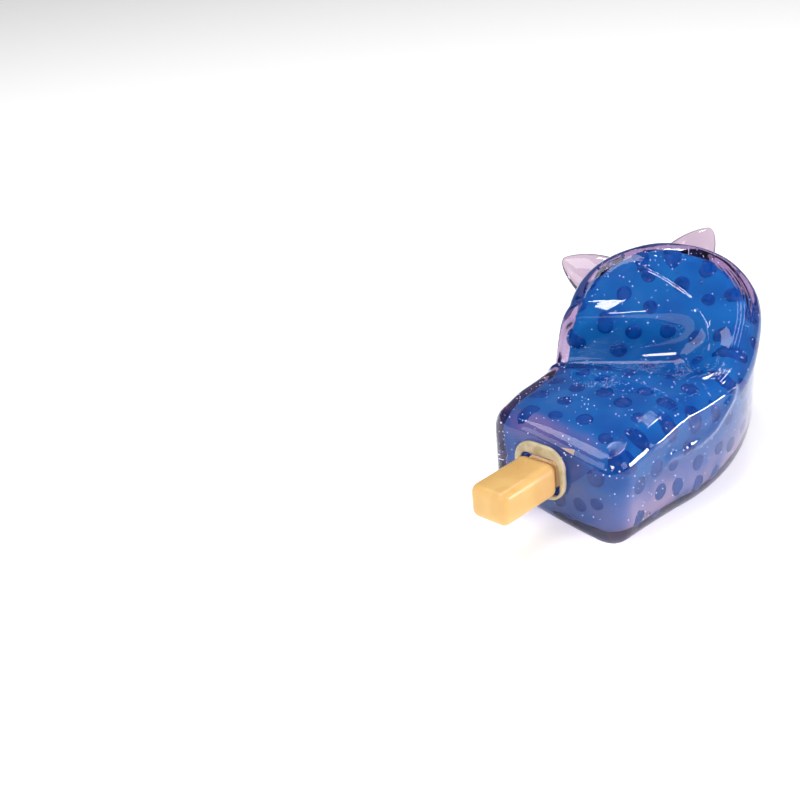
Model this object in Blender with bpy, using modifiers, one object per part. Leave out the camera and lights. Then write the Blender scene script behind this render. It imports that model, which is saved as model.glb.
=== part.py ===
# Ice-pop squeeze toy: a clear soft skin with cat ears, a blue water-bead filling and a yellow stick.
# Metres, +Z up. The toy lies on the flat back of its stick half, bent as a squeezing hand leaves it.
# The origin is on that flat back, under the middle of the stick half.
# Its form is described straight: x across, s along from the stick end, z through the thickness.
# bend() carries those straight places to the stored, squeezed shape.
import math

import bmesh
import bpy
import numpy as np
from mathutils import Matrix, Vector

# Driving sizes of the straight body.
bodyLength = 0.099
stickEndWidth = 0.047
earedEndWidth = 0.059
stickEndThickness = 0.030
earedEndThickness = 0.033
frontCrown = 0.0022
edgeRadius = 0.0050
stickEndCorner = 0.0065
stickEndRound = 0.0045
earedEndRound = 0.0085
earedEndPower = 2.3

# What the squeeze does to that form: its sides swell beside the hollow, and at the stick end
# its front sinks on the right, its back lifts on the left and its left side draws in.
sideBulge = 0.0018
bulgePlace = 0.052
bulgeSpread = 0.015
frontDip = 0.0040
frontDipRun = 0.028
backRise = 0.0050
backRiseRun = 0.0125
leftTaper = 0.13
leftTaperRun = 0.018

# The walls, the play between pieces, and how far along the body the origin lies.
skinWall = 0.0028
endWall = 0.0045
gap = 0.0004
restPlace = 0.0200

# The squeeze: where the bend starts, how far it runs, how much it turns and about which axis.
bendStart = 0.031
bendLength = 0.050
foldAngle = math.radians(66)
foldAxis = Vector((0.78, 0.28, 0.56)).normalized()
waistLength = 0.022

# The hollow that a thumb leaves, running in from the left edge of the front.
hollowDepth = 0.0095
hollowReach = 0.0175
hollowTipAcross = 0.006
hollowTipAlong = 0.059
hollowSlant = math.radians(12)
hollowRun = 0.045

# Stick, the neck that flexes in the end wall, and the pieces that hold and close it.
stickWidth = 0.0125
stickThickness = 0.0100
stickLength = 0.0225
stickRound = 0.0026
stickRaise = 0.0025
stickAside = -0.0010
neckWidth = 0.0092
neckThickness = 0.0066
neckRound = 0.0012
neckPlay = 0.0010
stickPlay = 0.0009
collarAbove = 0.0040
collarBelow = 0.0020
collarBeside = 0.0023
collarThickness = 0.0016
plateOverhang = 0.0028
plateThickness = 0.0014
plugLength = 0.0035
plugRadius = 0.0042

# Ears, measured along the rounded end, out from it and through the thickness.
# The squeeze has pushed the left one further round the end.
earSpacing = 0.0185
leftEarAside = 0.0085
earBase = 0.0155
earHeight = 0.0104
earThickness = 0.0074
earLean = 0.0042
earTopShare = 0.40
earCageShare = 1.45

# Filling.
beadDiameter = 0.0088
beadsPerHalf = 22
beadGap = 0.0006

# How finely the curved pieces are divided.
aroundSkin = 30
cornerRings = 4
domeRings = 6
gridStep = 0.0020

bodyMiddle = stickEndThickness / 2
waistStart = bendStart + bendLength / 2 - waistLength / 2
waistEnd = waistStart + waistLength
earedEndRadius = earedEndWidth / 2
plateWidth = neckWidth + 2 * plateOverhang


def clearScene():
    for thing in list(bpy.data.objects):
        bpy.data.objects.remove(thing, do_unlink=True)


def makeCollection(name):
    collection = bpy.data.collections.new(name)
    bpy.context.scene.collection.children.link(collection)
    return collection


def makeMaterial(name, colour, roughness, transmission=0.0):
    material = bpy.data.materials.new(name)
    material.use_nodes = True
    shader = material.node_tree.nodes["Principled BSDF"]
    shader.inputs["Base Color"].default_value = (*colour, 1.0)
    shader.inputs["Roughness"].default_value = roughness
    shader.inputs["Metallic"].default_value = 0.0
    shader.inputs["Transmission Weight"].default_value = transmission
    return material


def addShape(name, shape, material):
    mesh = bpy.data.meshes.new(name)
    shape.to_mesh(mesh)
    shape.free()
    mesh.materials.append(material)
    mesh.shade_smooth()
    mesh.set_sharp_from_angle(angle=math.radians(50))
    thing = bpy.data.objects.new(name, mesh)
    toy.objects.link(thing)
    return thing


def smooth(share):
    share = min(max(share, 0.0), 1.0)
    return share * share * (3.0 - 2.0 * share)


# The body turns at a constant rate about the fold axis, from the start of the bend to its end.
def turnAt(s):
    share = min(max((s - bendStart) / bendLength, 0.0), 1.0)
    return Matrix.Rotation(foldAngle * share, 3, foldAxis)


def spineAt(s):
    along = Vector((0.0, 1.0, 0.0))
    rate = bendLength / foldAngle
    arc = min(max(s - bendStart, 0.0), bendLength)
    angle = arc / rate
    kept = foldAxis * foldAxis.dot(along)
    place = Vector((0.0, min(s, bendStart) - restPlace, bodyMiddle))
    place += kept * arc + (along - kept) * math.sin(angle) * rate
    place += foldAxis.cross(along) * (1.0 - math.cos(angle)) * rate
    place += turnAt(s) @ along * max(s - bendStart - bendLength, 0.0)
    return place


def bend(x, s, z):
    return spineAt(s) + turnAt(s) @ Vector((x, 0.0, z))


# How strongly the thumb presses: 1 under the thumb, 0 past its reach.
def pressAt(x, s):
    back = Vector((-math.cos(hollowSlant), -math.sin(hollowSlant)))
    offset = Vector((x - hollowTipAcross, s - hollowTipAlong))
    run = min(max(offset.dot(back), 0.0), hollowRun)
    return 1.0 - smooth((offset - back * run).length / hollowReach)


# What a round of this radius takes off a half size, this far inside the end that it rounds.
def roundLoss(depth, radius):
    past = min(max(radius - depth, 0.0), radius)
    return radius - math.sqrt(radius**2 - past**2)


# Half sizes of the body, or of its hollow when inset is the skin's wall.
def halfWidthAt(s, inset, start):
    wide = stickEndWidth + (earedEndWidth - stickEndWidth) * smooth(s / bodyLength)
    wide += 2 * sideBulge * math.exp(-(((s - bulgePlace) / bulgeSpread) ** 2))
    half = wide / 2 - inset - roundLoss(s - start, stickEndCorner - inset)
    radius = earedEndRadius - inset
    past = min(max(s - (bodyLength - earedEndRadius), 0.0) / radius, 1.0)
    return half * math.sqrt(1.0 - past**earedEndPower)


def halfThicknessAt(s, inset, start):
    half = fullThicknessAt(s) / 2 - inset - roundLoss(s - start, stickEndRound - inset)
    return half - roundLoss(bodyLength - inset - s, earedEndRound - inset)


def fullThicknessAt(s):
    return stickEndThickness + (earedEndThickness - stickEndThickness) * smooth(s / bodyLength)


# Points evenly spaced round a rounded rectangle, seen from the stick end, from +x towards +z.
def roundedSection(halfWidth, halfThickness, radius):
    radius = min(radius, halfWidth, halfThickness)
    flatX = halfWidth - radius
    flatZ = halfThickness - radius
    quarter = math.pi * radius / 2
    corners = ((1, 1), (-1, 1), (-1, -1), (1, -1))
    sides = (2 * flatX, 2 * flatZ, 2 * flatX, 2 * flatZ)
    headings = ((-1, 0), (0, -1), (1, 0), (0, 1))
    total = 4 * quarter + sum(sides)
    points = []
    for index in range(aroundSkin):
        left = (total * index / aroundSkin - flatZ) % total
        corner = 0
        while left > quarter + sides[corner]:
            left -= quarter + sides[corner]
            corner += 1
        angle = corner * math.pi / 2 + min(left / quarter, 1.0) * math.pi / 2 if radius else 0.0
        straight = max(left - quarter, 0.0)
        points.append(
            (
                corners[corner][0] * flatX + radius * math.cos(angle) + headings[corner][0] * straight,
                corners[corner][1] * flatZ + radius * math.sin(angle) + headings[corner][1] * straight,
            )
        )
    return points


# One ring of the skin: the outside, or the inside when inset is the skin's wall. The body grows
# thicker towards the ears on its front only, so that the back stays flat.
def skinRing(s, inset=0.0):
    start = endWall if inset else 0.0
    halfWidth = halfWidthAt(s, inset, start)
    halfThickness = halfThicknessAt(s, inset, start)
    lift = (fullThicknessAt(s) - stickEndThickness) / 2
    ring = []
    for x, z in roundedSection(halfWidth, halfThickness, edgeRadius - inset):
        across = x / halfWidth
        crown = frontCrown * (1.0 - across**2) - hollowDepth * pressAt(x, s)
        crown -= frontDip * smooth((1.0 + across) / 2) * (1.0 - smooth(s / frontDipRun))
        rise = backRise * smooth((1.0 - across) / 2) * (1.0 - smooth(s / backRiseRun))
        z += (crown if z > 0 else -rise) * z / halfThickness
        if x < 0:
            x *= 1.0 - leftTaper * (1.0 - smooth(s / leftTaperRun))
        ring.append(bend(x, s, z + lift))
    return ring


def spaced(start, end, count):
    return [start + (end - start) * index / count for index in range(count + 1)]


# Stations close together at the two ends of a layer of the skin.
def stickStations(start):
    radius = stickEndRound
    corner = [start + radius * (1 - math.cos(math.pi / 2 * i / cornerRings)) for i in range(cornerRings)]
    return corner + spaced(start + radius, waistStart - gap, 5)


def earedStations(inset):
    dome = earedEndRadius - inset
    base = bodyLength - earedEndRadius
    cap = [base + dome * math.sin(math.pi / 2 * i / domeRings) for i in range(1, domeRings)]
    last = bodyLength - inset
    tight = [last - (last - cap[-1]) * share for share in (0.45, 0.12)]
    return spaced(waistEnd + gap, base, 2)[:-1] + [base] + cap + tight


# Joins rings into a skin. A tip closes that end, and without tips the last ring meets the first.
def loft(name, rings, material, tips=()):
    shape = bmesh.new()
    loops = [[shape.verts.new(point) for point in ring] for ring in rings]
    pairs = list(zip(loops, loops[1:]))
    if not tips:
        pairs.append((loops[-1], loops[0]))
    for first, second in pairs:
        for index, corner in enumerate(first):
            after = (index + 1) % len(first)
            shape.faces.new((corner, first[after], second[after], second[index]))
    for loop, tip in zip((loops[0], loops[-1]), tips):
        point = shape.verts.new(tip)
        for index, corner in enumerate(loop):
            shape.faces.new((corner, loop[(index + 1) % len(loop)], point))
    bmesh.ops.recalc_face_normals(shape, faces=shape.faces)
    return addShape(name, shape, material)


# A ring round the stick's line, which lies a little in front of the body's middle.
def stickRing(s, half, rise=0.0):
    return [bend(x + stickAside, s, z + stickRaise + rise) for x, z in roundedSection(*half)]


def makeSkin():
    halfHole = (neckWidth / 2 + neckPlay, neckThickness / 2 + neckPlay, neckRound)
    hole = [stickRing(s, halfHole) for s in (0.0, endWall)]
    outer = [skinRing(s) for s in stickStations(0.0)]
    inner = [skinRing(s, skinWall) for s in stickStations(endWall)]
    loft("skin_stick_half", [hole[0], *outer, *reversed(inner), hole[1]], clearSkin)
    stations = spaced(waistStart, waistEnd, 6)
    outer = [skinRing(s) for s in stations]
    inner = [skinRing(s, skinWall) for s in stations]
    loft("skin_waist", [*outer, *reversed(inner)], clearSkin)
    outer = [skinRing(s) for s in earedStations(0.0)]
    inner = [skinRing(s, skinWall) for s in earedStations(skinWall)]
    tips = (bend(0, bodyLength, 0), bend(0, bodyLength - skinWall, 0))
    loft("skin_eared_half", [*reversed(outer), *inner], clearSkin, tips)


# A box with rounded edges, its middle at this straight place.
def roundedBox(name, size, place, radius, material):
    shape = bmesh.new()
    bmesh.ops.create_cube(shape, size=1.0)
    bmesh.ops.scale(shape, vec=size, verts=shape.verts)
    box = addShape(name, shape, material)
    box.matrix_world = Matrix.Translation(bend(*place)) @ turnAt(place[1]).to_4x4()
    if radius:
        edge = box.modifiers.new("Rounded edges", "BEVEL")
        edge.width = radius
        edge.segments = 3
    return box


# The flat ring round the stick's root, which stands out further above the stick than below it.
def makeCollar(halfHole):
    halfAcross = stickWidth / 2 + collarBeside
    halfUpright = stickThickness / 2 + (collarAbove + collarBelow) / 2
    rise = (collarAbove - collarBelow) / 2
    front, back = -gap - collarThickness, -gap
    holes = [stickRing(s, halfHole) for s in (front, back)]
    rims = [stickRing(s, (halfAcross, halfUpright, edgeRadius), rise) for s in (front, back)]
    loft("stick_collar", [holes[0], rims[0], rims[1], holes[1]], paleCollar)


def makeStick():
    halfHole = (stickWidth / 2 + stickPlay, stickThickness / 2 + stickPlay, stickRound)
    makeCollar(halfHole)
    stickPlace = (stickAside, -stickPlay - stickLength / 2, stickRaise)
    stickSize = (stickWidth, stickLength, stickThickness)
    roundedBox("stick", stickSize, stickPlace, stickRound, yellowStick)
    neckLength = endWall - 2 * gap
    neckSize = (neckWidth, neckLength, neckThickness)
    roundedBox("stick_neck", neckSize, (stickAside, neckLength / 2, stickRaise), 0.0, yellowStick)
    plateStart = endWall + neckPlay
    plateSize = (plateWidth, plateThickness, neckThickness + 2 * plateOverhang)
    platePlace = (stickAside, plateStart + plateThickness / 2, stickRaise)
    roundedBox("inner_plate", plateSize, platePlace, 0.0, paleCollar)
    shape = bmesh.new()
    bmesh.ops.create_cone(
        shape, cap_ends=True, segments=20, radius1=plugRadius, radius2=plugRadius * 0.8, depth=plugLength
    )
    plug = addShape("fill_plug", shape, paleCollar)
    plugPlace = bend(stickAside, plateStart + plateThickness + gap + plugLength / 2, stickRaise)
    plug.matrix_world = Matrix.Translation(plugPlace) @ Matrix.Rotation(-math.pi / 2, 4, "X")


# Where an ear stands on the rounded end, and the way it points there, in straight places.
def earSeat(side):
    across = side * earSpacing / 2 - (leftEarAside if side < 0 else 0.0)
    share = 1.0 - (across / earedEndRadius) ** 2
    past = earedEndRadius * share ** (1.0 / earedEndPower)
    out = Vector((across, past)).normalized()
    return across, bodyLength - earedEndRadius + past, out


# Subdivision draws the coarse cage in, so the cage is larger than the ear by these shares.
def makeEar(name, side):
    across, s, out = earSeat(side)
    shape = bmesh.new()
    bmesh.ops.create_cube(shape, size=1.0)
    for corner in shape.verts:
        top = corner.co.y > 0
        corner.co.x *= earBase * (earTopShare if top else earCageShare)
        corner.co.z *= earThickness * (earTopShare if top else earCageShare)
        corner.co.y = earHeight * earCageShare if top else 0.0
        corner.co.x += side * earLean if top else 0.0
    ear = addShape(name, shape, clearSkin)
    form = ear.modifiers.new("Soft form", "SUBSURF")
    form.levels = 2
    form.render_levels = 2
    basis = Matrix(((out.y, out.x, 0.0), (-out.x, out.y, 0.0), (0.0, 0.0, 1.0))).to_4x4()
    seat = Vector((across, 0.0, 0.0)) + Vector((out.x, out.y, 0.0)) * gap
    place = bend(seat.x, s + seat.y, 0.0)
    ear.matrix_world = Matrix.Translation(place) @ turnAt(s).to_4x4() @ basis


# Straight places on a box's surface, close enough together to keep a bead off it.
def boxSamples(centre, size):
    counts = [max(int(length / gridStep), 1) for length in size]
    axes = [np.linspace(-length / 2, length / 2, count + 1) for length, count in zip(size, counts)]
    grid = np.stack(np.meshgrid(*axes, indexing="ij"), axis=-1).reshape(-1, 3)
    return [bend(x + centre[0], s + centre[1], z + centre[2]) for x, s, z in grid]


# Takes each place in turn that keeps this far from the ones already taken.
def firstFit(candidates, spacing):
    picked = []
    for place in candidates:
        if all(np.linalg.norm(place - other) > spacing for other in picked):
            picked.append(place)
    return picked


# The places for this many beads, at the widest spacing that still finds them all.
def spreadOut(candidates, count):
    spacing = 2 * beadDiameter
    picked = []
    while len(picked) < count:
        picked = firstFit(candidates, spacing)
        spacing *= 0.98
    return picked[:count]


def beadPlaces(start, end):
    walls = []
    reach = np.arange(start - beadDiameter, end + beadDiameter, gridStep / 2)
    for s in [*reach, *spaced(bodyLength - skinWall - gridStep, bodyLength - skinWall, 12)]:
        if endWall < s < bodyLength - skinWall:
            walls += skinRing(float(s), skinWall)
    plateReach = endWall + neckPlay + plateThickness + gap + plugLength
    plateBox = ((stickAside, plateReach / 2, stickRaise), (plateWidth, plateReach, 2 * plugRadius + plateOverhang))
    walls += boxSamples(*plateBox)
    walls += [bend(x, endWall, z) for x in spaced(-0.02, 0.02, 18) for z in spaced(-0.012, 0.012, 10)]
    walls = np.array(walls)
    candidates = []
    keep = beadDiameter / 2 + beadGap
    for s in np.arange(start, end, gridStep):
        for x in np.arange(-earedEndRadius, earedEndRadius, gridStep):
            for z in np.arange(-earedEndThickness / 2, earedEndThickness / 2, gridStep):
                if abs(x) > halfWidthAt(float(s), skinWall, endWall) - keep:
                    continue
                if abs(z) > halfThicknessAt(float(s), skinWall, endWall) - keep:
                    continue
                place = bend(float(x), float(s), float(z))
                if np.min(np.linalg.norm(walls - np.array(place), axis=1)) > keep:
                    candidates.append(place)
    return np.array(candidates)


def makeBeads():
    for half, start, end in (("stick", endWall, waistStart), ("eared", waistEnd, bodyLength)):
        for number, place in enumerate(spreadOut(beadPlaces(start, end), beadsPerHalf), 1):
            shape = bmesh.new()
            bmesh.ops.create_icosphere(shape, subdivisions=2, radius=beadDiameter / 2)
            bead = addShape(f"bead_{half}_{number:02d}", shape, blueBead)
            bead.location = Vector(place)


clearScene()
toy = makeCollection("ice_pop_squeeze_toy")
clearSkin = makeMaterial("clear_skin", (0.86, 0.84, 0.92), 0.08, 0.9)
yellowStick = makeMaterial("yellow_stick", (0.90, 0.62, 0.22), 0.35)
paleCollar = makeMaterial("pale_collar", (0.85, 0.84, 0.62), 0.30)
blueBead = makeMaterial("blue_bead", (0.01, 0.09, 0.42), 0.20)
makeSkin()
makeStick()
makeEar("ear_left", -1)
makeEar("ear_right", 1)
makeBeads()
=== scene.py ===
import math

import bpy
import numpy as np
from mathutils import Matrix, Vector, noise


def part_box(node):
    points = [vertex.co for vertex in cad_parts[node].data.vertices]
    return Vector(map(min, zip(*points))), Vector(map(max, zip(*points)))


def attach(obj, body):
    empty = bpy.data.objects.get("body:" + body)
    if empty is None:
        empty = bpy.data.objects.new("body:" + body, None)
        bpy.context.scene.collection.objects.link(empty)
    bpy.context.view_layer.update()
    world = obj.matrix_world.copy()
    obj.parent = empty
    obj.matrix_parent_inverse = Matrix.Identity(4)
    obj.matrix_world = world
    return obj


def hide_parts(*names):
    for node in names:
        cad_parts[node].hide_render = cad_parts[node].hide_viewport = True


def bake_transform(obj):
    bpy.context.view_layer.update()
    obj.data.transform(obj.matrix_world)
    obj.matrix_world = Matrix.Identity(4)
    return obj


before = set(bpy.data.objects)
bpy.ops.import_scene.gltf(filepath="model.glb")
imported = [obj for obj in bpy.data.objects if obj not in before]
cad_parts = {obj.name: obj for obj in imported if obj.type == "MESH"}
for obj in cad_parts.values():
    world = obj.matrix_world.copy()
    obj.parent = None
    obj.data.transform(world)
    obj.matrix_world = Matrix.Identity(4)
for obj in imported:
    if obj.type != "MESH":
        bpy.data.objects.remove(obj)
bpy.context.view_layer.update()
bpy.ops.object.select_all(action="DESELECT")
print("frame loaded:", len(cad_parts), "solids")


# Camera, floor and light

cameraSet = {
    "place": (0.2093, -0.2715, 0.19616),
    "right": (0.7170, 0.6917, -0.0864),
    "up": (-0.2403, 0.3616, 0.9008),
    "lens": 61.75,
}

lightSet = {
    "world": (0.86, 0.87, 0.90),
    "worldStrength": 0.18,
    "wall": (0.93, 0.93, 0.935),
    "aim": (0.0, 0.02, 0.03),
    "lamps": {
        "overheadBox": {"place": (-0.25, -0.25, 1.05), "size": (0.70, 0.70), "power": 6.5},
        "windowBox": {"place": (0.85, 0.10, 0.50), "size": (0.50, 0.50), "power": 2.5},
        "frontBox": {"place": (-0.30, -1.00, 0.45), "size": (0.80, 0.50), "power": 3.0},
        "lobeBox": {"place": (0.476, -0.805, 0.580), "size": (0.22, 0.22), "power": 3.4},
        "sideStrip": {"place": (0.745, 0.504, 0.170), "size": (0.11, 0.27), "power": 3.6},
        "ridgeBox": {"place": (-0.188, 0.537, 0.983), "size": (0.13, 0.13), "power": 2.0},
    },
}

floorSet = {"size": 6.0, "drop": 0.0005, "colour": (0.90, 0.90, 0.905), "roughness": 0.9, "glow": 0.36}


def makeCamera():
    right = Vector(cameraSet["right"]).normalized()
    up = Vector(cameraSet["up"]).normalized()
    back = right.cross(up).normalized()
    up = back.cross(right)
    data = bpy.data.cameras.new("productCamera")
    data.lens = cameraSet["lens"]
    data.sensor_width = 36.0
    data.clip_start = 0.01
    camera = bpy.data.objects.new("productCamera", data)
    basis = Matrix((right, up, back)).transposed().to_4x4()
    camera.matrix_world = Matrix.Translation(cameraSet["place"]) @ basis
    bpy.context.scene.collection.objects.link(camera)
    bpy.context.scene.camera = camera


def makeLights():
    world = bpy.data.worlds.new("studio")
    bpy.context.scene.world = world
    world.use_nodes = True
    tree = world.node_tree
    sky = tree.nodes["Background"]
    sky.inputs["Color"].default_value = (*lightSet["world"], 1.0)
    sky.inputs["Strength"].default_value = lightSet["worldStrength"]
    wall = tree.nodes.new("ShaderNodeBackground")  # the pale studio wall that the camera sees
    wall.inputs["Color"].default_value = (*lightSet["wall"], 1.0)
    path = tree.nodes.new("ShaderNodeLightPath")
    mix = tree.nodes.new("ShaderNodeMixShader")
    tree.links.new(path.outputs["Is Camera Ray"], mix.inputs[0])
    tree.links.new(sky.outputs["Background"], mix.inputs[1])
    tree.links.new(wall.outputs["Background"], mix.inputs[2])
    tree.links.new(mix.outputs["Shader"], tree.nodes["World Output"].inputs["Surface"])
    for name, values in lightSet["lamps"].items():
        data = bpy.data.lights.new(name, "AREA")
        data.shape = "RECTANGLE"
        data.size, data.size_y = values["size"]
        data.energy = values["power"]
        lamp = bpy.data.objects.new(name, data)
        place = Vector(values["place"])
        turn = (Vector(values.get("aim", lightSet["aim"])) - place).to_track_quat("-Z", "Y")
        lamp.matrix_world = Matrix.Translation(place) @ turn.to_matrix().to_4x4()
        bpy.context.scene.collection.objects.link(lamp)
    bpy.context.scene.view_settings.view_transform = "Standard"


def makeFloor():
    bpy.ops.mesh.primitive_plane_add(size=floorSet["size"], location=(0, 0, -floorSet["drop"]))
    floor = bpy.context.object
    floor.name = "paleFloor"
    paper = bpy.data.materials.new("pale paper")
    paper.use_nodes = True
    shader = paper.node_tree.nodes["Principled BSDF"]
    shader.inputs["Base Color"].default_value = (*floorSet["colour"], 1.0)
    shader.inputs["Roughness"].default_value = floorSet["roughness"]
    shader.inputs["Specular IOR Level"].default_value = 0.1
    shader.inputs["Emission Color"].default_value = (1.0, 1.0, 1.0, 1.0)
    shader.inputs["Emission Strength"].default_value = floorSet["glow"]
    floor.data.materials.append(paper)


makeCamera()
makeLights()
makeFloor()
print("camera, light and floor set")


# Effects that several materials share

def newGroup(name, ins, outs):
    group = bpy.data.node_groups.new(name, "ShaderNodeTree")
    for label, kind, value in ins:
        socket = group.interface.new_socket(name=label, in_out="INPUT", socket_type=kind)
        socket.default_value = value
    for label, kind in outs:
        group.interface.new_socket(name=label, in_out="OUTPUT", socket_type=kind)
    return group, group.nodes.new("NodeGroupInput"), group.nodes.new("NodeGroupOutput")


def addNode(tree, kind, ins=(), **values):
    node = tree.nodes.new(kind)
    for key, value in values.items():
        setattr(node, key, value)
    for socket, source in ins:
        if isinstance(source, bpy.types.NodeSocket):
            tree.links.new(source, node.inputs[socket])
        else:
            node.inputs[socket].default_value = source
    return node


# Two colours in soft patches, with roughness and a faint bump that go with them.
def makeMottleGroup():
    group, given, made = newGroup(
        "softMottle",
        (
            ("Patch scale", "NodeSocketFloat", 200.0),
            ("Light colour", "NodeSocketColor", (1, 1, 1, 1)),
            ("Deep colour", "NodeSocketColor", (0.5, 0.5, 0.5, 1)),
            ("Smooth roughness", "NodeSocketFloat", 0.2),
            ("Dull roughness", "NodeSocketFloat", 0.4),
            ("Grain scale", "NodeSocketFloat", 1500.0),
            ("Grain depth", "NodeSocketFloat", 0.1),
        ),
        (("Color", "NodeSocketColor"), ("Roughness", "NodeSocketFloat"), ("Normal", "NodeSocketVector")),
    )
    place = addNode(group, "ShaderNodeTexCoord").outputs["Object"]
    patches = addNode(
        group, "ShaderNodeTexNoise",
        (("Vector", place), ("Scale", given.outputs["Patch scale"]), ("Detail", 2.0), ("Distortion", 0.4)),
    )
    spread = addNode(
        group, "ShaderNodeMapRange",
        (("Value", patches.outputs["Fac"]), ("From Min", 0.38), ("From Max", 0.64)),
        interpolation_type="SMOOTHSTEP",
    )
    colour = addNode(
        group, "ShaderNodeMix",
        ((0, spread.outputs["Result"]), (6, given.outputs["Deep colour"]), (7, given.outputs["Light colour"])),
        data_type="RGBA",
    )
    rough = addNode(
        group, "ShaderNodeMapRange",
        (
            ("Value", patches.outputs["Fac"]), ("From Min", 0.3), ("From Max", 0.7),
            ("To Min", given.outputs["Smooth roughness"]), ("To Max", given.outputs["Dull roughness"]),
        ),
    )
    grain = addNode(
        group, "ShaderNodeTexNoise",
        (("Vector", place), ("Scale", given.outputs["Grain scale"]), ("Detail", 3.0)),
    )
    bump = addNode(
        group, "ShaderNodeBump",
        (("Strength", given.outputs["Grain depth"]), ("Distance", 0.0004), ("Height", grain.outputs["Fac"])),
    )
    group.links.new(colour.outputs[2], made.inputs["Color"])
    group.links.new(rough.outputs["Result"], made.inputs["Roughness"])
    group.links.new(bump.outputs["Normal"], made.inputs["Normal"])
    return group


mottle = makeMottleGroup()


def newMaterial(name, shaderValues):
    material = bpy.data.materials.new(name)
    material.use_nodes = True
    shader = material.node_tree.nodes["Principled BSDF"]
    for socket, value in shaderValues.items():
        shader.inputs[socket].default_value = value
    return material, material.node_tree, shader


def mottledMaterial(name, mottleValues, shaderValues):
    material, tree, shader = newMaterial(name, shaderValues)
    patches = addNode(tree, "ShaderNodeGroup", node_tree=mottle)
    for socket, value in mottleValues.items():
        patches.inputs[socket].default_value = value
    tree.links.new(patches.outputs["Color"], shader.inputs["Base Color"])
    tree.links.new(patches.outputs["Roughness"], shader.inputs["Roughness"])
    tree.links.new(patches.outputs["Normal"], shader.inputs["Normal"])
    return material


# The squeezed body's form

bodyForm = {
    "length": 0.099,
    "stickEndWidth": 0.047, "earedEndWidth": 0.059,
    "stickEndThickness": 0.030, "earedEndThickness": 0.033,
    "crown": 0.0022,
    "edge": 0.0050,
    "stickEndCorner": 0.0065, "stickEndRound": 0.0045, "earedEndRound": 0.0085, "leastRound": 0.0042,
    "sideBulge": 0.0018, "bulgeAt": 0.052, "bulgeSpread": 0.015,
    "frontDip": 0.0040, "frontDipRun": 0.028, "backRise": 0.0050, "backRiseRun": 0.0125,
    "leftTaper": 0.13, "leftTaperRun": 0.018,
    "earedEndPower": 2.3,
    "restPlace": 0.0200,
    "bendStart": 0.031, "bendLength": 0.050, "foldAngle": math.radians(66),
    "foldAxis": (0.78, 0.28, 0.56),
    "hollowDepth": 0.0095, "hollowReach": 0.0175, "hollowTip": (0.006, 0.059),
    "hollowSlant": math.radians(12), "hollowRun": 0.045,
}

foldAxis = np.array(Vector(bodyForm["foldAxis"]).normalized())
earedRadius = bodyForm["earedEndWidth"] / 2
middleHeight = bodyForm["stickEndThickness"] / 2


def softShare(value):
    value = np.clip(value, 0.0, 1.0)
    return value * value * (3.0 - 2.0 * value)


def turned(vectors, s):
    angle = bodyForm["foldAngle"] * np.clip((s - bodyForm["bendStart"]) / bodyForm["bendLength"], 0, 1)
    angle = np.broadcast_to(angle, len(vectors))[:, None]
    kept = np.outer(vectors @ foldAxis, foldAxis)
    return vectors * np.cos(angle) + np.cross(foldAxis, vectors) * np.sin(angle) + kept * (1 - np.cos(angle))


def spineAt(s):
    along = np.array((0.0, 1.0, 0.0))
    rate = bodyForm["bendLength"] / bodyForm["foldAngle"]
    arc = np.clip(s - bodyForm["bendStart"], 0.0, bodyForm["bendLength"])[:, None]
    kept = foldAxis * (foldAxis @ along)
    place = np.zeros((len(s), 3))
    place[:, 1] = np.minimum(s, bodyForm["bendStart"]) - bodyForm["restPlace"]
    place[:, 2] = middleHeight
    place += kept * arc + (along - kept) * np.sin(arc / rate) * rate
    place += np.cross(foldAxis, along) * (1 - np.cos(arc / rate)) * rate
    past = np.maximum(s - bodyForm["bendStart"] - bodyForm["bendLength"], 0.0)
    return place + turned(np.tile(along, (len(s), 1)), s) * past[:, None]


# Straight places across, along and through the body, bent as the squeeze leaves them.
def bent(x, s, z):
    x, s, z = np.broadcast_arrays(np.atleast_1d(x), np.atleast_1d(s), np.atleast_1d(z))
    return spineAt(s.astype(float)) + turned(np.stack((x, np.zeros(len(x)), z), axis=1).astype(float), s)


def pressAt(x, s):
    slant, (tipX, tipS) = bodyForm["hollowSlant"], bodyForm["hollowTip"]
    offX, offS = x - tipX, s - tipS
    run = np.clip(-offX * math.cos(slant) - offS * math.sin(slant), 0.0, bodyForm["hollowRun"])
    away = np.hypot(offX + run * math.cos(slant), offS + run * math.sin(slant))
    return 1.0 - softShare(away / bodyForm["hollowReach"])


def roundLoss(depth, radius):
    past = min(max(radius - depth, 0.0), radius)
    return radius - math.sqrt(radius**2 - past**2)


def thicknessAt(s):
    thin, thick = bodyForm["stickEndThickness"], bodyForm["earedEndThickness"]
    return thin + (thick - thin) * float(softShare(s / bodyForm["length"]))


def halfWidthAt(s, inset, start):
    narrow, wide = bodyForm["stickEndWidth"], bodyForm["earedEndWidth"]
    half = (narrow + (wide - narrow) * float(softShare(s / bodyForm["length"]))) / 2 - inset
    half += bodyForm["sideBulge"] * math.exp(-(((s - bodyForm["bulgeAt"]) / bodyForm["bulgeSpread"]) ** 2))
    half -= roundLoss(s - start, max(bodyForm["stickEndCorner"] - inset, bodyForm["leastRound"]))
    past = min(max(s - (bodyForm["length"] - earedRadius), 0.0) / (earedRadius - inset), 1.0)
    return half * math.sqrt(1.0 - past ** bodyForm["earedEndPower"])


def halfThicknessAt(s, inset, start):
    half = thicknessAt(s) / 2 - inset
    half -= roundLoss(s - start, max(bodyForm["stickEndRound"] - inset, bodyForm["leastRound"]))
    return half - roundLoss(bodyForm["length"] - inset - s, bodyForm["earedEndRound"] - inset)


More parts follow.
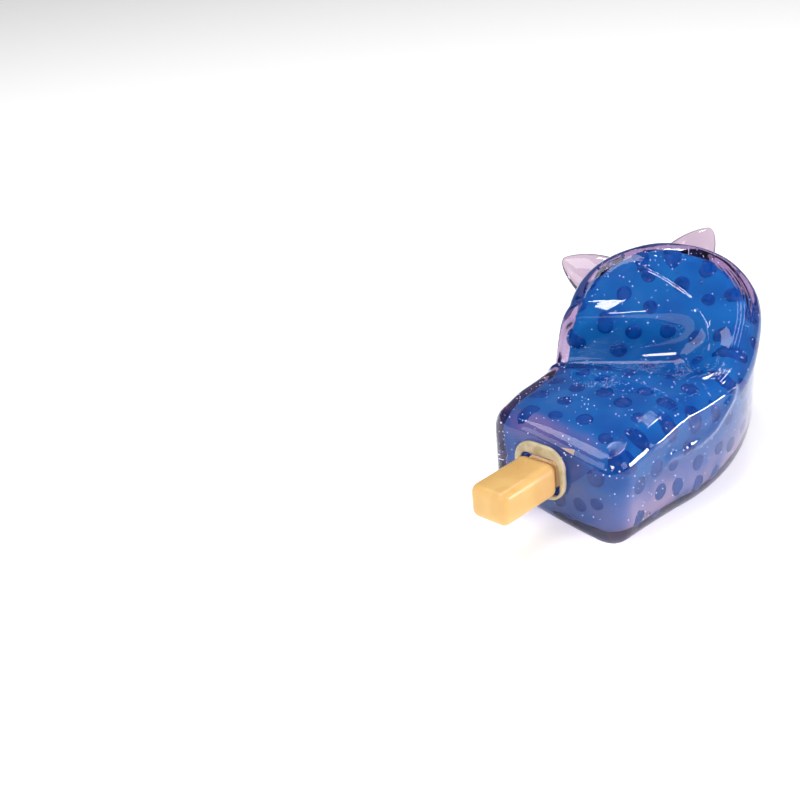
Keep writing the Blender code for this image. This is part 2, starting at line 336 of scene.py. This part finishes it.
# Places round a rounded rectangle, from +x towards +z, and how far each is past its front right edge.
# They are evenly spaced, or closer together near that edge when fine gives (count, lowest, highest).
def roundedSection(halfWidth, halfThickness, radius, count, fine=None):
    radius = min(radius, halfWidth, halfThickness)
    flatX, flatZ = halfWidth - radius, halfThickness - radius
    angles = np.linspace(0, math.pi / 2, 33)
    outline = [np.array([[halfWidth, 0.0]])]
    for corner, (signX, signZ) in enumerate(((1, 1), (-1, 1), (-1, -1), (1, -1))):
        turn = angles + corner * math.pi / 2
        outline.append(
            np.stack((signX * flatX + radius * np.cos(turn), signZ * flatZ + radius * np.sin(turn)), axis=1)
        )
    outline.append(np.array([[halfWidth, 0.0]]))
    outline = np.concatenate(outline)
    travelled = np.concatenate(([0.0], np.cumsum(np.hypot(*np.diff(outline, axis=0).T))))
    total, edge = travelled[-1], flatZ + math.pi * radius / 4
    pastEdge = total * np.arange(count) / count - edge
    if fine:
        fineCount, low, high = fine
        rest = np.linspace(high, total + low, count - fineCount + 2)[1:-1]
        pastEdge = np.concatenate((np.linspace(low, high, fineCount), rest))
    x = np.interp((pastEdge + edge) % total, travelled, outline[:, 0])
    z = np.interp((pastEdge + edge) % total, travelled, outline[:, 1])
    return x, z, pastEdge


def bodyRing(s, count, inset=0.0, start=0.0, edge=bodyForm["edge"], fine=None, relief=None):
    halfWidth, halfThickness = halfWidthAt(s, inset, start), halfThicknessAt(s, inset, start)
    x, z, pastEdge = roundedSection(halfWidth, halfThickness, edge, count, fine)
    across = x / halfWidth
    crown = bodyForm["crown"] * (1 - across**2) - bodyForm["hollowDepth"] * pressAt(x, s)
    crown -= bodyForm["frontDip"] * softShare((1 + across) / 2) * (1 - softShare(s / bodyForm["frontDipRun"]))
    rise = bodyForm["backRise"] * softShare((1 - across) / 2) * (1 - softShare(s / bodyForm["backRiseRun"]))
    z = z + np.where(z > 0, crown, -rise) * z / halfThickness
    taper = bodyForm["leftTaper"] * (1 - softShare(s / bodyForm["leftTaperRun"]))
    x = np.where(x < 0, x * (1 - taper), x)
    if relief:
        stepX, stepZ = (np.roll(values, -1) - np.roll(values, 1) for values in (x, z))
        raised = relief(s, pastEdge) / np.maximum(np.hypot(stepX, stepZ), 1e-9)
        x, z = x + stepZ * raised, z - stepX * raised
    lift = (thicknessAt(s) - bodyForm["stickEndThickness"]) / 2
    return bent(x, s, z + lift)


# A sphere's rows become the given rings, from its north pole to its south pole.
def sphereOfRings(name, rings, poles):
    rings = np.array(rings)
    rows, columns = rings.shape[:2]
    bpy.ops.object.select_all(action="DESELECT")
    bpy.ops.mesh.primitive_uv_sphere_add(segments=columns, ring_count=rows + 1, radius=1.0)
    piece = bpy.context.object
    piece.name = piece.data.name = name
    places = np.empty(len(piece.data.vertices) * 3)
    piece.data.vertices.foreach_get("co", places)
    places = places.reshape(-1, 3)
    row = np.rint(np.arccos(np.clip(places[:, 2], -1, 1)) / math.pi * (rows + 1)).astype(int)
    column = np.rint(np.arctan2(places[:, 1], places[:, 0]) / (2 * math.pi) * columns).astype(int) % columns
    moved = rings[np.clip(row - 1, 0, rows - 1), column]
    moved[row == 0] = poles[0]
    moved[row == rows + 1] = poles[1]
    piece.data.vertices.foreach_set("co", moved.ravel())
    piece.data.update()
    bpy.ops.object.mode_set(mode="EDIT")
    bpy.ops.mesh.select_all(action="SELECT")
    bpy.ops.mesh.normals_make_consistent(inside=False)
    bpy.ops.object.mode_set(mode="OBJECT")
    bpy.ops.object.shade_smooth()
    return piece, row, column


def setAttribute(piece, name, values):
    attribute = piece.data.attributes.new(name, "FLOAT", "POINT")
    attribute.data.foreach_set("value", np.asarray(values, np.float32))


blendSet = {"span": (0.034, 0.078)}


def bendWithFold(piece):
    start, end = (Vector(place) for place in spineAt(np.array(blendSet["span"])))
    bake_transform(piece)


# Places along the body, close together where it rounds over at its two ends.
def stationsAlong(start, inset, roundSteps, step, domeSteps):
    radius = max(bodyForm["stickEndRound"] - inset, bodyForm["leastRound"])
    corner = [start + radius * (1 - math.cos(math.pi / 2 * i / roundSteps)) for i in range(roundSteps)]
    base = bodyForm["length"] - earedRadius
    straight = np.linspace(start + radius, base, max(int((base - start - radius) / step), 2))
    dome = [base + (earedRadius - inset) * math.sin(math.pi / 2 * i / domeSteps) for i in range(1, domeSteps)]
    return [*corner, *straight, *dome]


# Clear skin

skinSet = {
    "around": 320, "fine": (200, -0.012, 0.028), "roundSteps": 16, "step": 0.0005, "domeSteps": 60,
    "pocketFine": (-0.0031, 0.0071),
    "pocket": (0.0056, 0.0043, 0.0012), "pocketDepth": 0.0045, "pocketRaise": 0.0025, "pocketAcross": -0.0010,
    "faceSteps": 7,
    "tint": (0.93, 0.90, 0.94), "shadowTint": (0.93, 0.92, 0.97),
    "depthTint": (0.72, 0.61, 0.77), "depthDensity": 115.0,
    "sheen": 0.10, "sheenRoughness": 0.15, "sheenTint": (0.80, 0.66, 0.86),
    "gloss": 0.60, "glossRoughness": 0.02, "glossRefraction": 1.5,
    "refraction": 1.28, "roughness": 0.015,
    "ridgeAt": 0.0040, "ridgePitch": 0.00095, "ridgeReach": 0.0024, "ridgeHeight": 0.00016,
    "ridgeSpan": (0.001, 0.006, 0.078, 0.092), "flowStrength": 0.22, "flowScale": 70.0, "flowDepth": 0.0006,
}

# Creases that the squeeze raises in the skin. A line's places are how far past the front's right edge
# and how far along the body they lie.
creaseSet = {
    "lobe": {
        "height": 0.00034, "wide": 0.00062,
        "line": (
            (0.0196, 0.0924), (0.0231, 0.0924), (0.0255, 0.0912), (0.0259, 0.0892), (0.0245, 0.0880),
            (0.0227, 0.0856), (0.0204, 0.0828), (0.0182, 0.0796), (0.0169, 0.0748), (0.0146, 0.0704),
            (0.0129, 0.0664), (0.0127, 0.0620), (0.0134, 0.0604), (0.0158, 0.0616),
        ),
    },
    "sideUpper": {
        "height": 0.00048, "wide": 0.00105,
        "line": (
            (-0.0022, 0.0164), (-0.0025, 0.0204), (-0.0018, 0.0264), (-0.0008, 0.0340),
            (-0.0002, 0.0408), (0.0, 0.0468), (0.0, 0.0488),
        ),
    },
    "sideLower": {
        "height": 0.00070, "wide": 0.00150,
        "line": (
            (0.0, 0.0488), (-0.0024, 0.0460), (-0.0051, 0.0428), (-0.0081, 0.0392),
            (-0.0097, 0.0348), (-0.0106, 0.0292), (-0.0093, 0.0228),
        ),
    },
    "lobeEdge": {
        "height": 0.00024, "wide": 0.00060,
        "line": (
            (0.0426, 0.0844), (0.0397, 0.0868), (0.0362, 0.0888), (0.0320, 0.0908),
            (0.0283, 0.0916), (0.0247, 0.0916),
        ),
    },
}


def makeClearMaterial(name, tint):
    material, tree, shader = newMaterial(name, {
        "Base Color": (*tint, 1.0),
        "Roughness": skinSet["roughness"],
        "IOR": skinSet["refraction"],
        "Transmission Weight": 1.0,
        "Sheen Weight": skinSet["sheen"],
        "Sheen Roughness": skinSet["sheenRoughness"],
        "Sheen Tint": (*skinSet["sheenTint"], 1.0),
        "Coat Weight": skinSet["gloss"],
        "Coat Roughness": skinSet["glossRoughness"],
        "Coat IOR": skinSet["glossRefraction"],
    })
    place = addNode(tree, "ShaderNodeTexCoord").outputs["Object"]
    flow = addNode(
        tree, "ShaderNodeTexNoise", (("Vector", place), ("Scale", skinSet["flowScale"]), ("Detail", 1.5))
    )
    bump = addNode(
        tree, "ShaderNodeBump",
        (
            ("Strength", skinSet["flowStrength"]), ("Distance", skinSet["flowDepth"]),
            ("Height", flow.outputs["Fac"]),
        ),
    )
    tree.links.new(bump.outputs["Normal"], shader.inputs["Normal"])
    through = addNode(tree, "ShaderNodeBsdfTransparent", (("Color", (*skinSet["shadowTint"], 1.0)),))
    path = addNode(tree, "ShaderNodeLightPath")
    mix = addNode(
        tree, "ShaderNodeMixShader",
        ((0, path.outputs["Is Shadow Ray"]), (1, shader.outputs["BSDF"]), (2, through.outputs["BSDF"])),
    )
    depth = addNode(
        tree, "ShaderNodeVolumeAbsorption",
        (("Color", (*skinSet["depthTint"], 1.0)), ("Density", skinSet["depthDensity"])),
    )
    output = tree.nodes["Material Output"]
    tree.links.new(mix.outputs["Shader"], output.inputs["Surface"])
    tree.links.new(depth.outputs["Volume"], output.inputs["Volume"])
    return material


# Fine parallel ridges that the mould leaves beside the front's right edge.
def ridgeRelief(s, pastEdge):
    rise, full, fade, end = skinSet["ridgeSpan"]
    along = softShare((s - rise) / (full - rise)) * (1 - softShare((s - fade) / (end - fade)))
    offset = pastEdge - skinSet["ridgeAt"]
    near = 1 - softShare(np.abs(offset) / skinSet["ridgeReach"] * 4 - 3)  # fades over the last quarter
    ridges = skinSet["ridgeHeight"] * along * near
    return ridges * (0.5 + 0.5 * np.cos(2 * math.pi * offset / skinSet["ridgePitch"]))


def creaseRelief(s, pastEdge):
    raised = np.zeros(len(pastEdge))
    for crease in creaseSet.values():
        line = np.array(crease["line"])
        nearest = np.full(len(pastEdge), 1.0)
        for (startX, startS), (endX, endS) in zip(line[:-1], line[1:]):
            stepX, stepS = endX - startX, endS - startS
            share = (pastEdge - startX) * stepX + (s - startS) * stepS
            share = np.clip(share / (stepX**2 + stepS**2), 0.0, 1.0)
            away = np.hypot(pastEdge - startX - share * stepX, s - startS - share * stepS)
            nearest = np.minimum(nearest, away)
        raised += crease["height"] * np.exp(-((nearest / crease["wide"]) ** 2))
    return raised


def skinRelief(s, pastEdge):
    return ridgeRelief(s, pastEdge) + creaseRelief(s, pastEdge)


def makeSkin():
    count, fine = skinSet["around"], skinSet["fine"]
    x, z = roundedSection(*skinSet["pocket"], count, (fine[0], *skinSet["pocketFine"]))[:2]
    x, z = x + skinSet["pocketAcross"], z + skinSet["pocketRaise"]
    mouth, floor = bent(x, 0.0, z), bent(x, skinSet["pocketDepth"], z)
    face = bodyRing(0.0, count, fine=fine)
    rings = [floor, mouth]
    rings += [mouth + (face - mouth) * step / skinSet["faceSteps"] for step in range(1, skinSet["faceSteps"])]
    for s in stationsAlong(0.0, 0.0, skinSet["roundSteps"], skinSet["step"], skinSet["domeSteps"]):
        rings.append(bodyRing(float(s), count, fine=fine, relief=skinRelief))
    lift = (bodyForm["earedEndThickness"] - bodyForm["stickEndThickness"]) / 2
    poles = (
        bent(skinSet["pocketAcross"], skinSet["pocketDepth"], skinSet["pocketRaise"])[0],
        bent(0.0, bodyForm["length"], lift)[0],
    )
    skin = sphereOfRings("clearSkin", rings, poles)[0]
    skin.data.materials.append(makeClearMaterial("clear soft rubber", skinSet["tint"]))
    bendWithFold(skin)
    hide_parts("skin_stick_half", "skin_waist", "skin_eared_half")


makeSkin()
print("clear skin made")


# Fill: the hazy gel, and the blue beads that press against it from inside

fillSet = {
    "around": 120, "roundSteps": 8, "step": 0.0014, "domeSteps": 20,
    "inset": 0.0034, "start": 0.0052, "edge": 0.0050, "lump": 0.00035, "lumpScale": 160.0,
    "deep": (0.002, 0.092, 0.325), "middle": (0.005, 0.130, 0.380), "haze": (0.034, 0.170, 0.420),
    "endHaze": (0.20, 0.16, 0.32), "endFrom": 0.0056, "endRun": 0.0048, "endLow": 0.15, "endSide": 0.30,
    # The side colour is painted light: a paler lilac painted on the gel's lower sides and underside, to lift them
    # where they lie in shade.
    "sidePaintedLift": (0.33, 0.29, 0.42), "sideFrom": 0.005, "sideRun": 0.015,
    "sideAcross": 0.70, "acrossRun": 0.25, "backAcross": 0.45, "backFrom": 0.008, "backRun": 0.004,
    "frontFrom": 0.006, "frontRun": 0.006, "endAcross": 0.018, "endAcrossRun": 0.010,
    "pastEnd": 0.0062, "pastEndRun": 0.004,
    "backSwell": 0.0016, "swellFrom": 0.001, "swellRun": 0.008,
    "cloudScale": 75.0, "cellScale": 115.0, "roughness": 0.50,
}

beadSet = {
    "radius": 0.0044, "capRadius": (0.0019, 0.0026), "spacing": 0.0070, "seed": 11,
    "segments": 14, "rows": (12, 24, 32, 50, 90, 150), "flat": 0.00010,
    "light": (0.0003, 0.066, 0.290), "deep": (0.0, 0.046, 0.225), "roundTo": 0.0092,
    "endPlaces": (
        (0.0135, 0.0035), (0.0140, -0.0040), (0.0085, -0.0062), (0.0015, -0.0066), (-0.0060, -0.0060),
        (-0.0115, -0.0010), (-0.0110, 0.0050),
    ),
}


def makeHazeMaterial():
    material, tree, shader = newMaterial("blue gel", {
        "Roughness": fillSet["roughness"], "Specular IOR Level": 0.05,
    })
    place = addNode(tree, "ShaderNodeTexCoord").outputs["Object"]
    cloud = addNode(
        tree, "ShaderNodeTexNoise",
        (("Vector", place), ("Scale", fillSet["cloudScale"]), ("Detail", 2.0), ("Distortion", 0.3)),
    )
    cells = addNode(
        tree, "ShaderNodeTexVoronoi", (("Vector", place), ("Scale", fillSet["cellScale"])), feature="SMOOTH_F1"
    )
    cellShare = addNode(
        tree, "ShaderNodeMapRange",
        (("Value", cells.outputs["Distance"]), ("From Min", 0.15), ("From Max", 0.62)),
        interpolation_type="SMOOTHSTEP",
    )
    blues = addNode(
        tree, "ShaderNodeMix",
        (
            (0, cellShare.outputs["Result"]),
            (6, (*fillSet["deep"], 1.0)), (7, (*fillSet["middle"], 1.0)),
        ),
        data_type="RGBA",
    )
    hazeShare = addNode(
        tree, "ShaderNodeMapRange",
        (("Value", cloud.outputs["Fac"]), ("From Min", 0.50), ("From Max", 0.74), ("To Max", 0.75)),
        interpolation_type="SMOOTHSTEP",
    )
    hazed = addNode(
        tree, "ShaderNodeMix",
        ((0, hazeShare.outputs["Result"]), (6, blues.outputs[2]), (7, (*fillSet["haze"], 1.0))),
        data_type="RGBA",
    )
    side = addNode(tree, "ShaderNodeAttribute", attribute_name="side").outputs["Fac"]
    sideCloud = addNode(
        tree, "ShaderNodeMapRange",
        (("Value", cloud.outputs["Fac"]), ("From Min", 0.36), ("From Max", 0.60), ("To Min", 0.25)),
    )
    sideShare = addNode(
        tree, "ShaderNodeMath", ((0, side), (1, sideCloud.outputs["Result"])), operation="MULTIPLY"
    )
    # Painted light: where the side mask is high, the gel's lower sides and underside are painted a paler lilac,
    # lifting them where they lie in shade.
    sided = addNode(
        tree, "ShaderNodeMix",
        ((0, sideShare.outputs[0]), (6, hazed.outputs[2]), (7, (*fillSet["sidePaintedLift"], 1.0))),
        data_type="RGBA",
    )
    end = addNode(tree, "ShaderNodeAttribute", attribute_name="end").outputs["Fac"]
    endShare = addNode(tree, "ShaderNodeMath", ((0, end), (1, sideCloud.outputs["Result"])), operation="MULTIPLY")
    ended = addNode(
        tree, "ShaderNodeMix",
        ((0, endShare.outputs[0]), (6, sided.outputs[2]), (7, (*fillSet["endHaze"], 1.0))),
        data_type="RGBA",
    )
    tree.links.new(ended.outputs[2], shader.inputs["Base Color"])
    bump = addNode(
        tree, "ShaderNodeBump", (("Strength", 0.25), ("Distance", 0.001), ("Height", cloud.outputs["Fac"]))
    )
    tree.links.new(bump.outputs["Normal"], shader.inputs["Normal"])
    return material


# How much of the painted lift of the sides (a paler lilac painted where the gel's lower sides and underside lie in
# shade) and of the lilac haze of the stick end shows at each place round one station.
def paintedLiftAndEndHazeAt(s, x, z, halfWidth):
    low = softShare((fillSet["sideFrom"] - z) / fillSet["sideRun"])
    back = softShare((-z - fillSet["backFrom"]) / fillSet["backRun"])
    across = np.abs(x) / halfWidth - fillSet["sideAcross"] + fillSet["backAcross"] * back
    past = softShare((s - fillSet["pastEnd"]) / fillSet["pastEndRun"])
    side = (fillSet["endSide"] + (1 - fillSet["endSide"]) * past) * low
    side = side * softShare(across / fillSet["acrossRun"])
    front = softShare((z - fillSet["frontFrom"]) / fillSet["frontRun"])
    fade = 1 - softShare((s - fillSet["endFrom"]) / fillSet["endRun"])
    end = fade * (fillSet["endLow"] + (1 - fillSet["endLow"]) * front)
    return side, end * softShare((fillSet["endAcross"] - x) / fillSet["endAcrossRun"])


def makeFill():
    rings, alongs, sides, ends = [], [], [], []
    around, inset, start, edge = (fillSet[key] for key in ("around", "inset", "start", "edge"))
    for s in stationsAlong(start, inset, fillSet["roundSteps"], fillSet["step"], fillSet["domeSteps"]):
        halfWidth = halfWidthAt(float(s), inset, start)
        x, z = roundedSection(halfWidth, halfThicknessAt(float(s), inset, start), edge, around)[:2]
        swell = fillSet["backSwell"] * softShare((-z - fillSet["swellFrom"]) / fillSet["swellRun"])
        outward = turned(np.stack((0 * z, 0 * z, -swell), axis=1), s)
        rings.append(bodyRing(float(s), around, inset, start, edge) + outward)
        side, end = paintedLiftAndEndHazeAt(s, x, z, halfWidth)
        alongs.append(float(s))
        sides.append(side)
        ends.append(end)
    lift = (bodyForm["earedEndThickness"] - bodyForm["stickEndThickness"]) / 2
    poles = (
        bent(0.0, fillSet["start"], 0.0)[0],
        bent(0.0, bodyForm["length"] - fillSet["inset"], lift)[0],
    )
    fill, row, column = sphereOfRings("blueGel", rings, poles)
    for vertex in fill.data.vertices:
        swell = noise.noise(vertex.co * fillSet["lumpScale"]) * fillSet["lump"]
        vertex.co += vertex.normal * swell
    fill.data.update()
    row = np.clip(row - 1, 0, len(rings) - 1)
    setAttribute(fill, "end", np.array(ends)[row, column])
    setAttribute(fill, "side", np.array(sides)[row, column])
    fill.data.materials.append(makeHazeMaterial())
    places = np.array([vertex.co for vertex in fill.data.vertices])
    outs = np.array([vertex.normal for vertex in fill.data.vertices])
    bendWithFold(fill)
    return places, outs, np.array(alongs)[row]


# Takes each place in turn that keeps this far from the ones already taken.
def spreadOut(places, spacing, seed):
    order = np.random.default_rng(seed).permutation(len(places))
    taken = []
    for index in order:
        if all(np.linalg.norm(places[index] - places[other]) > spacing for other in taken):
            taken.append(index)
    return taken


def modelBead():
    columns = beadSet["segments"]
    angles = 2 * math.pi * np.arange(columns) / columns
    rings = []
    pressed = math.sqrt(beadSet["radius"] ** 2 - beadSet["capRadius"][0] ** 2)  # flat where it meets the wall
    for polar in np.radians(beadSet["rows"]):
        wide = np.sin(polar) * beadSet["radius"]
        high = np.full(columns, min(np.cos(polar) * beadSet["radius"], pressed))
        rings.append(np.stack((wide * np.cos(angles), wide * np.sin(angles), high), axis=1))
    poles = ((0, 0, pressed), (0, 0, -beadSet["radius"]))
    return sphereOfRings("beadPattern", rings, poles)[0]


# Copies of a pattern piece, one at each matrix, joined into one piece.
def copiesOf(pattern, name, matrices):
    copies = []
    for matrix in matrices:
        copy = pattern.copy()
        copy.data = pattern.data.copy()
        copy.data.transform(matrix)
        bpy.context.scene.collection.objects.link(copy)
        copies.append(copy)
    bpy.data.objects.remove(pattern)
    bpy.ops.object.select_all(action="DESELECT")
    for copy in copies:
        copy.select_set(True)
    bpy.context.view_layer.objects.active = copies[0]
    bpy.ops.object.join()
    copies[0].name = copies[0].data.name = name
    return copies[0]


def makeBeads(places, outs, alongs):
    kept = alongs > beadSet["roundTo"]
    places, outs = places[kept], outs[kept]
    taken = spreadOut(places, beadSet["spacing"], beadSet["seed"])
    seats = [(Vector(places[index]), Vector(outs[index])) for index in taken]
    for x, z in beadSet["endPlaces"]:
        seats.append((Vector(bent(x, fillSet["start"], z)[0]), Vector((0.0, -1.0, 0.0))))
    chance = np.random.default_rng(beadSet["seed"])
    matrices = []
    for place, out in seats:
        cap = chance.uniform(*beadSet["capRadius"])
        sunk = math.sqrt(beadSet["radius"] ** 2 - cap**2) - beadSet["flat"]
        turn = out.to_track_quat("Z", "Y").to_matrix().to_4x4()
        matrices.append(Matrix.Translation(place - out * sunk) @ turn)
    beads = copiesOf(modelBead(), "blueBeads", matrices)
    beads.data.materials.append(mottledMaterial(
        "blue bead",
        {
            "Patch scale": 260.0, "Light colour": (*beadSet["light"], 1.0), "Deep colour": (*beadSet["deep"], 1.0),
            "Smooth roughness": 0.22, "Dull roughness": 0.38, "Grain scale": 900.0, "Grain depth": 0.03,
        },
        {"Specular IOR Level": 0.1},
    ))
    bendWithFold(beads)
    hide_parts(*[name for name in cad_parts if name.startswith("bead_")])
    return len(seats)


gelPlaces, gelOuts, gelAlongs = makeFill()
beadCount = makeBeads(gelPlaces, gelOuts, gelAlongs)
print("gel and", beadCount, "beads made")


# Air in the clear layer: fine specks, which glow faintly as painted glints, and a few round bubbles

airSet = {
    "specks": 700, "speckRadius": (0.00007, 0.00019), "speckLift": (0.0001, 0.0020),
    "bubbles": 26, "bubbleRadius": (0.00035, 0.00075), "bubbleLift": (0.0012, 0.0020), "seed": 5,
    "leastRise": -0.35,
}


def scatterAir(name, pattern, count, radii, lifts, seed):
    chance = np.random.default_rng(seed)
    matrices = []
    shown = np.flatnonzero(gelOuts[:, 2] > airSet["leastRise"])
    for index in chance.choice(shown, count, replace=False):
        size = chance.uniform(*radii)
        lift = chance.uniform(*lifts)
        place = Vector(gelPlaces[index]) + Vector(gelOuts[index]) * lift
        matrices.append(Matrix.Translation(place) @ Matrix.Scale(size, 4))
    return copiesOf(pattern, name, matrices)


def makeAir():
    bpy.ops.mesh.primitive_ico_sphere_add(subdivisions=1, radius=1.0)
    speck = bpy.context.object
    bpy.ops.object.shade_smooth()
    specks = scatterAir(
        "airSpecks", speck, airSet["specks"], airSet["speckRadius"], airSet["speckLift"], airSet["seed"]
    )
    specks.data.materials.append(mottledMaterial(
        "air speck",
        {
            "Patch scale": 400.0, "Light colour": (1.0, 1.0, 1.0, 1.0), "Deep colour": (0.72, 0.84, 1.0, 1.0),
            "Smooth roughness": 0.05, "Dull roughness": 0.15, "Grain depth": 0.02,
        },
        # The specks are real air, but their faint glow is painted light: painted glints that no lamp gives them.
        {"Emission Color": (0.8, 0.9, 1.0, 1.0), "Emission Strength": 0.7},
    ))
    bendWithFold(specks)
    bpy.ops.mesh.primitive_ico_sphere_add(subdivisions=3, radius=1.0)
    bubble = bpy.context.object
    bpy.ops.object.shade_smooth()
    bubbles = scatterAir(
        "airBubbles", bubble, airSet["bubbles"], airSet["bubbleRadius"], airSet["bubbleLift"], airSet["seed"] + 1
    )
    material, tree, shader = newMaterial("air bubble", {
        "Base Color": (0.92, 0.95, 1.0, 1.0), "Roughness": 0.02, "IOR": 1.0 / skinSet["refraction"],
        "Transmission Weight": 1.0,
    })
    place = addNode(tree, "ShaderNodeTexCoord").outputs["Object"]
    ripple = addNode(tree, "ShaderNodeTexNoise", (("Vector", place), ("Scale", 900.0)))
    bump = addNode(
        tree, "ShaderNodeBump", (("Strength", 0.05), ("Distance", 0.0002), ("Height", ripple.outputs["Fac"]))
    )
    tree.links.new(bump.outputs["Normal"], shader.inputs["Normal"])
    bubbles.data.materials.append(material)
    bendWithFold(bubbles)


makeAir()
print("air specks and bubbles made")


# Ears: solid clear nubs that lean outwards

earSet = {
    "spacing": 0.0185, "base": 0.0162, "height": 0.0108, "thickness": 0.0080, "lean": 0.0044,
    "leftAside": 0.0085, "seat": 0.0002, "around": 40, "rows": 26,
    "foot": (0.35, 0.7, 0.93), "taper": 1.35, "fullness": 0.68, "leanCurve": 1.3, "tint": (0.66, 0.54, 0.61),
}


def makeEar(side, name, body, material):
    across = side * earSet["spacing"] / 2 - (earSet["leftAside"] if side < 0 else 0.0)
    share = 1.0 - (across / earedRadius) ** 2
    past = earedRadius * share ** (1.0 / bodyForm["earedEndPower"])
    out = Vector((across, past)).normalized()
    s = bodyForm["length"] - earedRadius + past
    angles = 2 * math.pi * np.arange(earSet["around"]) / earSet["around"]
    rings = []

    def ringAt(height, wide):
        a = wide * earSet["base"] / 2 * np.cos(angles)
        b = wide * earSet["thickness"] / 2 * np.sin(angles)
        drop = (a**2 / (2 * earedRadius) + b**2 / (2 * bodyForm["earedEndRound"])) * (1 - height)
        up = earSet["seat"] + height * earSet["height"] - drop
        a = a + side * earSet["lean"] * height ** earSet["leanCurve"]
        return bent(across + out.y * a + out.x * up, s - out.x * a + out.y * up, b)

    for wide in earSet["foot"]:
        rings.append(ringAt(0.0, wide))
    for row in range(earSet["rows"]):
        height = math.sin(math.pi / 2 * (row + 0.4) / earSet["rows"])
        rings.append(ringAt(height, (1 - height ** earSet["taper"]) ** earSet["fullness"]))
    poles = (ringAt(0.0, 0.0)[0], ringAt(1.0, 0.0)[0])
    ear = sphereOfRings(name, rings, poles)[0]
    ear.data.materials.append(material)
    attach(ear, body)
    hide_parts(body)


earMaterial = makeClearMaterial("clear ear rubber", earSet["tint"])
makeEar(-1, "earLeft", "ear_left", earMaterial)
makeEar(1, "earRight", "ear_right", earMaterial)
print("ears made")


# Stick, its collar, and what holds it inside

stickSet = {
    "round": 0.0026, "segments": 6,
    "light": (0.770, 0.480, 0.168), "deep": (0.700, 0.420, 0.135),
}

collarSet = {
    "hole": (0.00670, 0.00545, 0.0026), "rim": (0.0085, 0.0080, 0.0062), "rimRise": 0.0010,
    "depth": (-0.0016, -0.0004), "raise": 0.0025, "across": -0.0010, "around": 128, "section": 20,
    "squareness": 0.45, "tube": 0.25,
    "light": (0.56, 0.48, 0.32), "deep": (0.44, 0.36, 0.22),
}


def makeStick():
    low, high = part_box("stick")
    size, middle = high - low, (high + low) / 2
    bpy.ops.object.select_all(action="DESELECT")
    bpy.ops.mesh.primitive_cube_add(size=1.0, location=middle)
    stick = bpy.context.object
    stick.name = stick.data.name = "yellowStick"
    stick.scale = size
    bpy.ops.object.transform_apply(location=True, rotation=True, scale=True)
    bevel = stick.modifiers.new("Rounded edges", "BEVEL")
    bevel.width = stickSet["round"]
    bevel.segments = stickSet["segments"]
    bpy.ops.object.modifier_apply(modifier=bevel.name)
    bpy.ops.object.shade_smooth_by_angle(angle=math.radians(40))
    stick.data.materials.append(mottledMaterial(
        "yellow stick",
        {
            "Patch scale": 90.0,
            "Light colour": (*stickSet["light"], 1.0), "Deep colour": (*stickSet["deep"], 1.0),
            "Smooth roughness": 0.26, "Dull roughness": 0.40, "Grain scale": 700.0, "Grain depth": 0.10,
        },
        {"Specular IOR Level": 0.5, "Subsurface Weight": 0.15, "Subsurface Radius": (0.004, 0.002, 0.001),
         "Subsurface Scale": 1.0},
    ))
    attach(stick, "stick")
    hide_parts("stick")


def makeCollar():
    around, section = collarSet["around"], collarSet["section"]
    holeX, holeZ = roundedSection(*collarSet["hole"], around)[:2]
    rimX, rimZ = roundedSection(*collarSet["rim"], around)[:2]
    rimZ = rimZ + collarSet["rimRise"]
    bpy.ops.object.select_all(action="DESELECT")
    bpy.ops.mesh.primitive_torus_add(
        major_segments=around, minor_segments=section, major_radius=1.0, minor_radius=collarSet["tube"]
    )
    collar = bpy.context.object
    collar.name = collar.data.name = "paleCollar"
    front, back = collarSet["depth"]
    for vertex in collar.data.vertices:
        x, y, z = vertex.co
        column = round(math.atan2(y, x) / (2 * math.pi) * around) % around
        out, up = (math.hypot(x, y) - 1.0) / collarSet["tube"], z / collarSet["tube"]
        wide = 0.5 + 0.5 * math.copysign(abs(out) ** collarSet["squareness"], out)
        deep = 0.5 + 0.5 * math.copysign(abs(up) ** collarSet["squareness"], up)
        across = holeX[column] + (rimX[column] - holeX[column]) * wide + collarSet["across"]
        high = holeZ[column] + (rimZ[column] - holeZ[column]) * wide
        vertex.co = bent(across, front + (back - front) * deep, high + collarSet["raise"])[0]
    collar.data.update()
    bpy.ops.object.mode_set(mode="EDIT")
    bpy.ops.mesh.select_all(action="SELECT")
    bpy.ops.mesh.normals_make_consistent(inside=False)
    bpy.ops.object.mode_set(mode="OBJECT")
    bpy.ops.object.shade_smooth()
    collar.data.materials.append(mottledMaterial(
        "pale collar",
        {
            "Patch scale": 240.0, "Light colour": (*collarSet["light"], 1.0),
            "Deep colour": (*collarSet["deep"], 1.0),
            "Smooth roughness": 0.12, "Dull roughness": 0.24, "Grain depth": 0.05,
        },
        {"Subsurface Weight": 0.3, "Subsurface Radius": (0.003, 0.003, 0.002), "Subsurface Scale": 1.0},
    ))
    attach(collar, "stick_half")
    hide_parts("stick_collar")


def finishHolders():
    finishes = {
        "stick_neck": ("neck plastic", stickSet["light"], stickSet["deep"]),
        "inner_plate": ("cream plate", (0.86, 0.72, 0.42), (0.78, 0.62, 0.33)),
        "fill_plug": ("cream plug", (0.84, 0.70, 0.44), (0.74, 0.60, 0.34)),
    }
    for node, (name, light, deep) in finishes.items():
        material = mottledMaterial(
            name,
            {
                "Patch scale": 180.0, "Light colour": (*light, 1.0), "Deep colour": (*deep, 1.0),
                "Smooth roughness": 0.25, "Dull roughness": 0.4, "Grain depth": 0.05,
            },
            {},
        )
        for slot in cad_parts[node].material_slots:
            slot.material = material


makeStick()
makeCollar()
finishHolders()
print("stick, collar and holders made")
